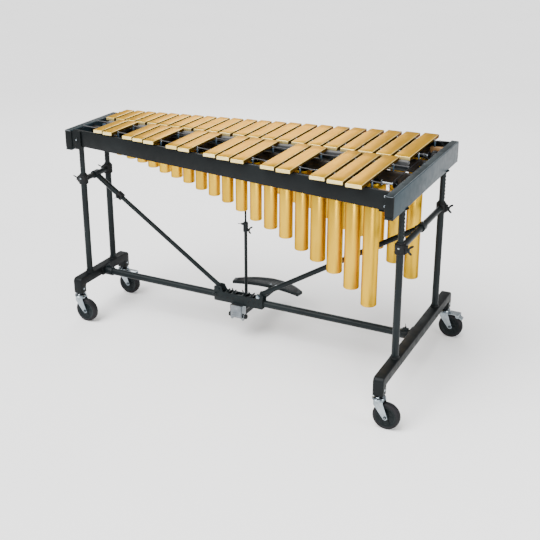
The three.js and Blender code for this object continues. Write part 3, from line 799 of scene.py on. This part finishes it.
def end_shelf(end, side, front, back):
    """A black ledge inside an end rail, with the small hardware that is fixed to it."""
    piece = Piece()
    length, ledge, lip, flange = back - front, 646, 648.4, 677.4
    for near, far, low, high, edge in ((BETWEEN, ledge, 742, 745, 0.8), (ledge, lip, 742, 750.5, 0.7),
                                       (BETWEEN, flange, 743, 770, 0.7)):
        piece.box((side * near, front, low), (side * far, back, high), BLACK, edge)
    for n in range(7):   # screws along the flange, by the rail
        y = front + length * (n + 0.5) / 7
        piece.head((side * flange, y, 762), (-side, 0, 0), [(3.6, 0), (3.3, 1), (2, 1.7)], 1.8, 16)
    for share, tall in ((0.30, 30), (0.44, 22), (0.66, 34)):   # angle brackets
        y = front + length * share
        for far, high in ((677, 747.4), (657.4, 745 + tall)):
            piece.box((side * 655, y - 9, 745), (side * far, y + 9, high), SLEEVE, 0.7)
    piece.finish(f"{end}_end_shelf", node=None)


block = Piece()   # it fills the step between the apron and the front of the high end rail
block.box((-679.8, -157, 738), (-640, -151, 811), BLACK, 2)
block.turned([(7, 0), (11, 0), (10.4, 1), (8, 1), (7, -0.4)], (-660, -157.2, 776), (0, -1, 0), BLACK, 32)
block.head((-660, -157, 776), (0, -1, 0), [(3.4, 0), (3.1, 1.2), (1.8, 1.9)], 2)
block.finish("high_corner_block", node=None)
end_shelf("low", 1, -318, 330)
end_shelf("high", -1, -138, 146)
apron("front_apron", sloped(-235, -0.1324), -1)
apron("rear_apron", sloped(245, 0.1368), 1)

damper = Piece()
damper.slab(rounded(6, 34, 783, 799, 1.5, 3), (-DAMPER_HALF, 0, 0), "x", 2 * DAMPER_HALF,
            STEEL_GREY, 0.8)
for x in (-560, -280, -60, 280, 560):   # leaf hinge pads and their screws
    damper.box((x - 16, 4.4, 785), (x + 16, 6.4, 797), CHROME, 0.6)
    for dx in (-10, 10):
        damper.head((x + dx, 4.4, 791), (0, -1, 0), [(2.4, 0), (2, 1.2)], 1.6, 12)
damper.box((-34, 8, 779.5), (-2, 36, 783.4), CHROME, 0.8)
damper.finish("damper_bar", "damper")
pad = Piece()
pad.slab(rounded(2, 38, 799.3, 815, 4, 4), (-DAMPER_HALF, 0, 0), "x", 2 * DAMPER_HALF, FELT, 3)
pad.finish("damper_felt", "damper", smooth=50)
rod = Piece()
rod.rod((*ROD, 260), (*ROD, 780), 4, STAND, 24, 0.8)
rod.turned([(0, 0), (7, 0), (7, 5), (4.4, 6.5), (0, 6.5)], (*ROD, 772), UP, STAND, 24)
rod.finish("upper_pedal_rod", "damper")


# ---- stand --------------------------------------------------------------------------
def foot_beam(end, side):
    """A rectangular tube bent down at both ends, with caster sockets and a saddle clamp."""
    piece = Piece()
    half, x0 = CASTER_Y[end], side * STAND_X
    low, top, bottom, reach, bend = 153, 188, 122, 17, 16
    turn_y = half - reach

    def profile(sign):
        inner = [(sign * turn_y * s, low) for s in (0, 0.5, 0.97)]
        outer = [(sign * turn_y * s, top) for s in (0, 0.5, 0.97)]
        centre_in, centre_out = (turn_y - 5, low - 5), (half + reach - bend, top - bend)
        for n in range(7):
            t = math.radians(90 - 15 * n)
            inner.append((sign * (centre_in[0] + 5 * math.cos(t)), centre_in[1] + 5 * math.sin(t)))
            outer.append((sign * (centre_out[0] + bend * math.cos(t)), centre_out[1] + bend * math.sin(t)))
        inner += [(sign * turn_y, bottom + 1), (sign * (turn_y + 1), bottom)]
        outer += [(sign * (half + reach), bottom + 1), (sign * (half + reach - 1), bottom)]
        return list(zip(inner, outer))
    right, left = profile(1), profile(-1)
    rings = []
    for (iy, iz), (oy, oz) in list(reversed(left)) + right[1:]:
        inner, outer = Vector((iy, iz)), Vector((oy, oz))
        depth, across = (outer - inner).length, (outer - inner).normalized()
        rings.append([Vector((x0 + u, inner.x + across.x * v, inner.y + across.y * v))
                      for u, v in rounded(-19, 19, 0, depth, 3.2, 3)])
    piece.skin(rings, BLACK)
    for way in (-1, 1):
        y = way * half
        piece.pipe((x0, y, 119.5), (x0, y, 124), 12.5, 6.6, PLASTIC, 28, 0.6)
        for dx in (-1, 1):   # the cross screw that holds the stem
            piece.head((x0 + dx * 18.8, y, 140), (dx, 0, 0), [(4.4, 0), (4.2, 1), (2.4, 2)], 2.2)
    for way in (-1, 1):   # sockets under the posts
        y = way * POST_Y[end]
        piece.turned([(14.5, 0), (18, 0), (18, 1.2), (15.6, 3), (14.6, 9), (13.2, 9.6), (12.9, 9)],
                     (x0, y, 187.6), UP, BLACK, 36)
        piece.head((x0, y, 153.3), (0, 0, -1), [(5, 0), (4.4, 1.8), (2.6, 2.4)], 2.4)
    # the saddle that holds the crossbar against the inside of the beam
    inside = -side
    for dy in (-24, 24):
        piece.rod((x0 + inside * 18.5, dy, 175.5), (x0 + inside * 21.5, dy, 175.5), 5.5, CHROME, 6, 0.5)
    for y0, y1 in ((-32, -15), (15, 32)):
        piece.box((x0 + inside * 18.6, y0, 166), (x0 + inside * 20.6, y1, 186), BLACK, 0.8)
    piece.finish(f"{end}_foot_beam", "stand")


def stand_post(corner, x, y):
    piece = Piece()
    piece.pipe((x, y, 188.4), (x, y, 612), 12.7, 11, STAND, 40, 0.5)
    piece.turned([(12.6, 604), (14.2, 604.4), (14.2, 613), (13.4, 614.2), (11.2, 614.2), (10.7, 613.4),
                  (10.7, 606), (12.6, 605)], (x, y, 0), UP, PLASTIC, 36)
    piece.finish(f"{corner}_post", "stand")


def post_clamp(corner, x, y, side, facing):
    """A split collar with an ear along x, its wing bolt, and a boss for the cross tube."""
    piece = Piece()
    piece.turned([(13.1, 572), (17.6, 572), (19, 573.4), (19, 606.6), (17.6, 608), (13.1, 608)],
                 (x, y, 0), UP, PLASTIC, 44)
    for z in (578, 602):
        piece.turned([(18.8, z - 1.2), (19.5, z - 0.8), (19.5, z + 0.8), (18.8, z + 1.2)],
                     (x, y, 0), UP, PLASTIC, 44)
    for y0, y1 in ((y - 8, y - 1.2), (y + 1.2, y + 8)):
        piece.box((x + side * 17, y0, CROSS_Z - 13), (x + side * 25, y1, CROSS_Z + 13), PLASTIC, 1.6)
    piece.wing_bolt((x + side * 24, y, CROSS_Z), (side, 0, 0), STAND, 14, 8, turn=0.9)
    # the seat of the cross tube faces the middle of the stand
    inward = -facing
    piece.turned([(0, 0), (13.5, 0), (13.5, 5), (12.2, 8), (11.2, 8), (11.2, 5), (0, 5)],
                 (x, y + inward * 15.5, CROSS_Z), (0, inward, 0), PLASTIC, 36)
    piece.head((x, y + facing * 18.8, 597), (0, facing, 0), [(3.6, 0), (3.4, 1), (2, 1.6)], 1.6, 16)
    piece.finish(f"{corner}_clamp", "stand")


def lift_tube(corner, x, y, side, facing):
    """The inner tube of a post, with its ladder of holes and its top flange."""
    piece = Piece()
    piece.pipe((x, y, 330), (x, y, 729), 10.4, 8.4, STAND, 36, 0.5)
    piece.turned([(8.4, 718), (11.6, 719), (12.4, 725), (15, 727.6), (16, 728), (16, 731.2), (15.5, 731.7),
                  (8.4, 731.7)], (x, y, 0), UP, STAND, 36)
    for n in range(7):
        z = 630 + 13.5 * n
        for way in ((side, 0), (0, facing), (0, -facing)):
            out = Vector((*way, 0))
            start = Vector((x, y, z)) + out * 9.6
            piece.turned([(2.8, 0), (4.0, 0), (4.0, 1.3), (3.5, 1.7), (2.8, 1.4)], start, out, STAND, 20)
            piece.turned([(0, 0), (2.9, 0), (2.9, 0.95), (0, 0.85)], start, out, PLASTIC, 16)
    piece.finish(f"{corner}_lift_tube")


def cross_tube(end, side):
    x, reach = side * STAND_X, POST_Y[end] - 19.3
    piece = Piece()
    piece.pipe((x, -reach, CROSS_Z), (x, reach, CROSS_Z), 11, 9.4, STAND, 36, 0.4)
    piece.finish(f"{end}_cross_tube", "stand")


def wheel(corner, x, y):
    """A two-part wheel: a moulded tyre on a dished nylon hub with spokes."""
    piece = Piece()
    at = (x + TRAIL, y, AXLE_Z)
    tyre = [(37, -11.6), (38, -12.6), (44.4, -12.0), (46.6, -10.2), (47.7, -7.4), (48, -3)]
    rim = [(30, -9), (33, -11.4), (37.2, -11.9), (37.6, -10)]
    web = [(10, -8), (20, -7.2), (31, -8.2)]
    hub = [(4.4, -13.2), (9, -13.6), (11.4, -12.6), (12.4, -9), (13.4, -7)]
    for half, material, sides in ((tyre, TYRE, 72), (rim, STAND, 60), (web, STAND, 60), (hub, STAND, 40)):
        piece.turned(both_ways(half), at, (0, 1, 0), material, sides)
    for n in range(6):   # ribs on both faces of the web, from the hub to the rim
        out = Vector((math.cos(math.pi * n / 3), 0, math.sin(math.pi * n / 3)))
        for way in (-1, 1):
            face = Vector((at[0], at[1] + way * 8.4, at[2]))
            piece.rod(face + out * 12, face + out * 31, 1.4, STAND, 10)
    piece.finish(f"{corner}_caster_wheel", f"{corner}_wheel", smooth=35)


def fork(corner, x, y):
    """A pressed steel fork: a ball race, a slim leg each side of the wheel, and its axle."""
    piece, braked = Piece(), corner.endswith("rear")
    piece.rod((x, y, 108), (x, y, 148), 5.9, CHROME, 24, 1)
    piece.turned([(0, 116.2), (8, 116.2), (8, 119.3), (0, 119.3)], (x, y, 0), UP, CHROME, 6)
    piece.turned([(6, 103.2), (20, 103.4), (23.4, 105.2), (24, 107.4), (23.2, 108.8), (22.2, 109.4),
                  (23.2, 110.2), (23.8, 111.6), (22.6, 113.6), (17.5, 114.4), (15.5, 116.2), (6, 116.4)],
                 (x, y, 0), UP, CHROME, 48)
    plate = rounded(-14, 64 if braked else 20, -18, 18, 5, 4)
    piece.slab([(x + u, y + v) for u, v in plate], (0, 0, 101.4), "z", 3, CHROME, 0.7)
    leg = [(-14, 103.6), (-14, 89)] + arc(TRAIL, AXLE_Z, 9.5, 205, 350, 8) + [(20, 96), (20, 103.6)]
    ear = [(46, 103.6), (52, 91), (55, 89.5), (62, 89.5), (64, 92), (64, 103.6)]
    rib = [(-4, 98), (3, 97), (26, 54), (23, 52)]

    def on_axle(dy):
        return (x + TRAIL, y + dy, AXLE_Z)
    for way in (-1, 1):
        lo = y + (15 if way > 0 else -18)
        piece.slab([(x + u, v) for u, v in leg], (0, lo, 0), "y", 3, CHROME, 0.7)
        outer = y + (17.6 if way > 0 else -18.5)
        piece.slab([(x + u, v) for u, v in rib], (0, outer, 0), "y", 0.9, CHROME, 0.4)
        if braked:
            piece.slab([(x + u, v) for u, v in ear], (0, lo, 0), "y", 3, CHROME, 0.7)
        piece.turned([(0, 0), (7.4, 0), (7.4, 0.9), (0, 1.1)],
                     on_axle(way * 17.9), (0, way, 0), CHROME, 28)
        piece.hex_nut(on_axle(way * 18.8), (0, way, 0), 6.0, 2.4, STAND)
        piece.rod(on_axle(way * 20), on_axle(way * 22.2), 3.0, ALUMINIUM, 16, 0.5)
    piece.rod(on_axle(-18), on_axle(18), 4, CHROME, 20)
    piece.finish(f"{corner}_caster_fork", f"{corner}_fork")


def brake(corner, x, y):
    piece = Piece()
    piece.rod((x + 57, y - 14.2, 95), (x + 57, y + 14.2, 95), 4.4, CHROME, 20, 0.6)
    outline = [(56, 91.4), (66, 86), (74.4, 81.8), (76, 82.6),
               (76.7, 85.2), (75.4, 88), (66, 94.2), (58, 98.8)]
    piece.slab([(x + u, v) for u, v in outline], (0, y - 12, 0), "y", 24, CHROME, 1.2)
    for n in range(4):   # tread ribs on the tab
        u = 64 + 3.0 * n
        top = 95.2 - (u - 64) * 0.62
        piece.rod((x + u, y - 9.5, top), (x + u, y + 9.5, top), 0.8, CHROME, 8)
    piece.finish(f"{corner}_caster_brake", f"{corner}_brake")


for end, side in (("low", 1), ("high", -1)):
    foot_beam(end, side)
    cross_tube(end, side)
    for row, facing in (("front", -1), ("rear", 1)):
        corner, x = f"{end}_{row}", side * STAND_X
        stand_post(corner, x, facing * POST_Y[end])
        post_clamp(corner, x, facing * POST_Y[end], side, facing)
        lift_tube(corner, x, facing * POST_Y[end], side, facing)
        caster_y = facing * CASTER_Y[end]
        fork(corner, x, caster_y)
        wheel(corner, x, caster_y)
        if row == "rear":
            brake(corner, x, caster_y)


# ---- crossbar, braces and the centre clamp ------------------------------------------
bar = Piece()
bar.pipe((-675.7, 0, CROSSBAR_Z), (675.7, 0, CROSSBAR_Z), 14, 12.4, STAND, 40, 0.5)
for side in (-1, 1):   # end brackets: a split sleeve and its bolt
    a, b = sorted((side * 675.5, side * 636))
    bar.turned([(14.1, 0), (17.4, 0), (18, 0.8), (18, b - a - 0.8), (17.4, b - a), (14.1, b - a)],
               (a, 0, CROSSBAR_Z), (1, 0, 0), STAND, 40)
    flange = sorted((side * 675.6, side * 672))
    bar.slab(rounded(-29, 29, 150, 186, 4), (flange[0], 0, 0), "x", 3.6, BLACK, 0.8)
    bar.box((a + 8, -5, 180), (b - 8, 5, 189), STAND, 1.4)
    bar.wing_bolt(((a + b) / 2, 0, 189), UP, STAND, 9, 6, turn=0.4)
bar.finish("crossbar", "stand")

BRACE_FOOT = {1: Vector((71, 0, 206)), -1: Vector((-122, 0, 203))}


def brace(side):
    """The top of a brace, its direction and its length."""
    top = Vector((side * STAND_X, 0, CROSS_Z))
    run = BRACE_FOOT[side] - top
    return top, run.normalized(), run.length


def brace_ring(piece, side):
    x = side * STAND_X
    piece.turned([(11.6, 0), (15.2, 0), (16, 0.8), (16, 31.2), (15.2, 32), (11.6, 32)],
                 (x, -16, CROSS_Z), (0, 1, 0), STAND, 40)
    piece.head((x, 8, CROSS_Z + 15.6), UP, [(3.8, 0), (3.6, 1.2), (2, 1.8)], 1.8, 16)


low = Piece()
top, run, length = brace(1)
brace_ring(low, 1)
low.pipe(top + run * 13.5, top + run * length, 10, 8.4, STAND, 36, 0.5)
low.turned([(9.8, 0), (12.6, 0.6), (12.6, 9), (9.8, 11)], top + run * 13, run, STAND, 32)
low.finish("low_brace", "stand")

sleeve = Piece()
top, run, length = brace(-1)
brace_ring(sleeve, -1)
sleeve.pipe(top + run * 13.5, top + run * 150, 11.5, 9.4, STAND, 36, 0.5)
sleeve.turned([(9.4, 126), (14.6, 126), (16, 127.4), (16, 150.6), (14.6, 152), (9.4, 152)], top, run,
              PLASTIC, 36)
at = top + run * 140
sleeve.box((at.x - 6, -21, at.z - 6), (at.x + 6, -13, at.z + 6), PLASTIC, 1.5)
sleeve.wing_bolt(at + Vector((0, -20, 0)), (0, -1, 0), STAND, 10, 6, turn=0.3)
sleeve.finish("high_brace_sleeve", "stand")

thin = Piece()
thin.pipe(top + run * 90, top + run * length, 8.8, 7.2, STAND, 32, 0.5)
thin.finish("high_brace_rod", "stand")

clamp = Piece()
side_plate = ([(-138, 148), (-135, 145), (75, 145), (78, 148)] + arc(71, 201, 7, 0, 90, 4)
              + [(56, 208), (52, 205), (44, 186), (-98, 186), (-106, 205), (-110, 208)]
              + arc(-131, 201, 7, 90, 180, 4))
for lo in (-18, 14.6):
    clamp.slab(side_plate, (0, lo, 0), "y", 3.4, STAND, 0.7)
clamp.box((-137, -17.6, 145), (77, 17.6, 148.6), STAND, 0.8)
for face in (-1, 1):
    y = face * 18
    for n in range(9):   # the row of round holes along each cheek
        x = -124 + 23.5 * n
        clamp.turned([(3.6, -0.2), (5.0, 0), (4.8, 0.5), (3.9, 0.5), (3.4, 0)], (x, y, 166),
                     (0, face, 0), STAND, 20)
        clamp.turned([(0, -0.5), (3.8, -0.5), (3.8, 0.15), (0, 0.1)], (x, y, 166),
                     (0, face, 0), PLASTIC, 20)
    for x, head in ((-118, STAND), (58, CHROME)):   # the bolts through the brace feet
        clamp.head((x, y, 196), (0, face, 0), [(7.4, 0), (7.4, 0.9)], 1.0, 24, head)
        clamp.hex_nut((x, y + face * 0.9, 196), (0, face, 0), 6.2, 3.9, head)
clamp.wing_bolt((-132, -18, 176), (0, -1, 0), STAND, 9, 6, turn=0.2)
for x in (-84, -56, -10, 22):   # clamping screws from above, each with its wing nut
    clamp.box((x - 8, -17.6, 183), (x + 8, 17.6, 186.4), STAND, 0.8)
    clamp.wing_bolt((x, 0, 187), UP, STAND, 11, 12, turn=1.25 + 0.5 * (x > 0))
clamp.box((-56, -36, 97), (-4, -33, 148), ALUMINIUM, 0.8)
for n in range(4):   # pressed ribs in the front plate
    z = 106 + 10 * n
    clamp.rod((-50, -36, z), (-10, -36, z), 1.3, ALUMINIUM, 10)
clamp.box((-56, -35, 145), (-4, -14.8, 148.6), ALUMINIUM, 0.8)
lug = [(-36, 147), (-36, 98)] + arc(-18, 98, 17, 200, 340, 8) + [(0, 98), (0, 147)]
for x in (-56, -8):
    clamp.slab(lug, (x, 0, 0), "x", 4, CHROME, 0.7)
clamp.finish("centre_clamp", "stand")


# ---- pedal and its rod --------------------------------------------------------------
pedal = Piece()
y, z = -18, 100   # the hinge pin
pedal.rod((-68, y, z), (8, y, z), 5, CHROME, 24)
pedal.pipe((-51.4, y, z), (-8.6, y, z), 12, 5, STAND, 32, 0.8)
for x, way in ((-59, -1), (-1, 1)):   # the knobs at both ends of the pin
    profile = [(0, 0), (7.6, 0), (9.6, 1.4), (10, 3.6), (9.6, 8.8), (8, 10.8), (0, 11)]
    pedal.turned(profile, (x, y, z), (way, 0, 0), PLASTIC, 12)
ARM_X = -30
arm = ((-18, 90.5, 110.5), (60, 89.4, 105), (150, 88.2, 100.5), (306, 86, 92))   # y, bottom and top
pedal.skin([[Vector((ARM_X + u, along, v)) for u, v in rounded(-18, 18, low_z, high_z, 3, 3)]
            for along, low_z, high_z in arm], STAND)


def bow(start, control, finish, steps=14):
    points = []
    for n in range(steps + 1):
        t = n / steps
        points.append(tuple((1 - t) ** 2 * a + 2 * t * (1 - t) * b + t * t * c
                            for a, b, c in zip(start, control, finish)))
    return points


board = bow((-208, 263), (-54, 315), (100, 263)) + bow((106, 296), (-54, 430), (-214, 296))
pedal.slab(board, (0, 0, 89), "z", 14.6, STAND, 2.4)
for n in range(5):   # rubber tread strips let into the board
    share = n / 4
    tread = bow((-196, 271 + 20 * share), (-54, 324 + 80 * share), (88, 271 + 20 * share), 18)
    pedal.sweep([(u, v, 103.2) for u, v in tread], 1.5, TYRE, 8)
for x in (-42, -18):
    pedal.head((x, 298, 103), UP, [(5, 0), (4.6, 1.2), (2.6, 2.2)], 2.2)
pedal.finish("pedal", "pedal")

rod = Piece()
rod.turned([(0, 113), (4, 113), (6.5, 116), (6.5, 440), (8.6, 440.4), (10, 442), (10, 478), (8.6, 480),
            (4.8, 480), (4.8, 476), (4.6, 130), (0, 128)], (*ROD, 0), UP, STAND, 36)
rod.turned([(6.3, 118), (9, 118.6), (9, 130), (6.3, 132)], (*ROD, 0), UP, PLASTIC, 32)
for way, z, turn in ((-1, 470, 0.3), (1, 450, 1.0)):   # the coupler's two screws
    rod.wing_bolt((ROD[0] + 10.5 * way, ROD[1], z), (way, 0, 0), STAND, 12, 6, turn=turn)
rod.finish("lower_pedal_rod", "pedal_rod")


# ---- floor and lights ---------------------------------------------------------------
def floor():
    """A pale studio floor, flat and wide enough to have no edge in view."""
    paper = Shader("floor_paper", 0.0)
    paper.colours(paper.noise(0.8), (0.93, 0.93, 0.93), (0.95, 0.95, 0.95))
    paper.roughness(paper.noise(4), 0.75, 0.85)
    mesh = bpy.data.meshes.new("floor")
    reach = 40
    mesh.from_pydata([(-reach, -reach, 0), (reach, -reach, 0), (reach, reach, 0), (-reach, reach, 0)],
                     [], [(0, 1, 2, 3)])
    mesh.materials.append(paper.material)
    placed("floor", mesh)


def lamp(name, kind, place, aim, energy):
    """A light at a place, turned along the aim."""
    data = bpy.data.lights.new(name, kind)
    data.energy = energy
    light = placed(name, data)
    light.location = place
    light.rotation_euler = Vector(aim).to_track_quat("-Z", "Y").to_euler()
    return data


floor()
lamp("sun", "SUN", (0, 0, 0), (0.25, 0.45, -1.0), 5.2).angle = math.radians(50)
SOFT_LIGHTS = (   # name, place, size and watts
    ("key", (-1.2, -2.8, 2.6), 1.6, 60), ("strip", (1.9, -2.6, 0.9), 0.5, 34),
    ("side", (3.0, -0.6, 1.6), 1.2, 30), ("back", (-1.5, 3.0, 2.2), 1.6, 40))
for name, place, size, watts in SOFT_LIGHTS:
    soft = lamp(name, "AREA", place, Vector((0, 0, 0.5)) - Vector(place), watts)
    soft.shape, soft.size = "SQUARE", size
world = bpy.data.worlds.new("studio")
bpy.context.scene.world = world
world.use_nodes = True
background = world.node_tree.nodes["Background"]
background.inputs["Color"].default_value = (1.0, 1.0, 1.0, 1)
background.inputs["Strength"].default_value = 0.7
